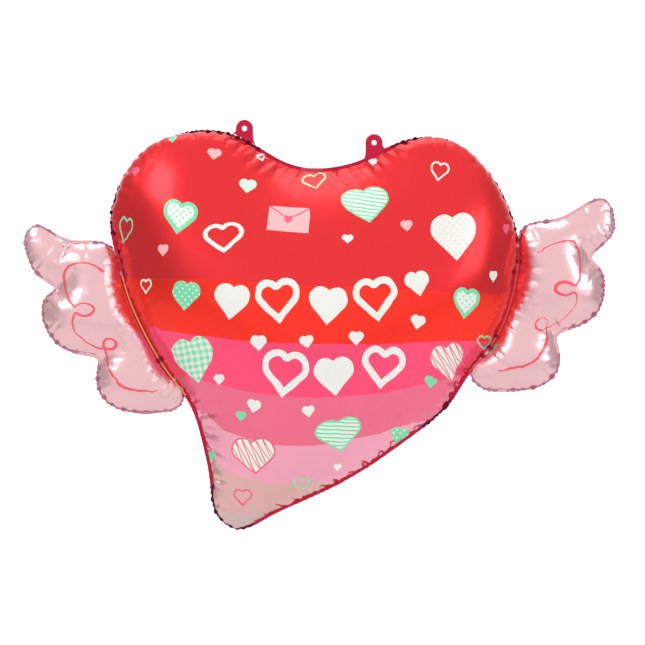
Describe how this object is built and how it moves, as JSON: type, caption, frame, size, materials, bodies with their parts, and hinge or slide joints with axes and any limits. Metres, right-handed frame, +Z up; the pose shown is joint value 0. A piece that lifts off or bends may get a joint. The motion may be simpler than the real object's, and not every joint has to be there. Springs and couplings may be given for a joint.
{
  "type": "heart-shaped foil balloon with wings",
  "caption": "Inflated heart-shaped foil balloon with two scalloped wings, a welded border all round, two punched hanging tabs and a self-sealing filling valve.",
  "frame": {"origin": "middle of the balloon's box, in the plane of its weld", "axes": "+X to the right seen from the printed front, +Z up, the printed front faces -Y"},
  "size_m": [0.7573, 0.1972, 0.5235],
  "materials": {
    "heart_front_print": "metallised, printed",
    "heart_back_foil": "metallised",
    "heart_edge": "metallised",
    "wing_foil": "metallised, printed",
    "wing_edge": "metallised",
    "tab_film": "metallised",
    "valve_film": "tinted film"
  },
  "bodies": {
    "heart": {"heart_front_foil": "heart_front_print", "heart_back_foil": "heart_back_foil", "heart_weld_border": "heart_edge", "valve_front_film": "valve_film", "valve_back_film": "valve_film"},
    "left_wing": {"left_wing_front_foil": "wing_foil", "left_wing_back_foil": "wing_foil", "left_wing_weld_border": "wing_edge"},
    "right_wing": {"right_wing_front_foil": "wing_foil", "right_wing_back_foil": "wing_foil", "right_wing_weld_border": "wing_edge"},
    "left_tab": {"left_hang_tab": "tab_film"},
    "right_tab": {"right_hang_tab": "tab_film"}
  },
  "joints": [
    {"name": "left_wing_hinge", "type": "hinge", "parent": "heart", "child": "left_wing", "pos_m": [-0.17245, 0, -0.09048], "axis": [-0.4341, 0, 0.9009], "range_deg": [-20, 20], "stiffness_Nm_per_rad": 0.05},
    {"name": "right_wing_hinge", "type": "hinge", "parent": "heart", "child": "right_wing", "pos_m": [0.19232, 0, -0.06155], "axis": [0.3345, 0, 0.9424], "range_deg": [-20, 20], "stiffness_Nm_per_rad": 0.05},
    {"name": "left_tab_bend", "type": "hinge", "parent": "heart", "child": "left_tab", "pos_m": [-0.09532, 0, 0.23619], "axis": [0.8905, 0, -0.4551], "range_deg": [-60, 60], "stiffness_Nm_per_rad": 0.002},
    {"name": "right_tab_bend", "type": "hinge", "parent": "heart", "child": "right_tab", "pos_m": [0.06937, 0, 0.21573], "axis": [0.884, 0, 0.4676], "range_deg": [-60, 60], "stiffness_Nm_per_rad": 0.002}
  ]
}
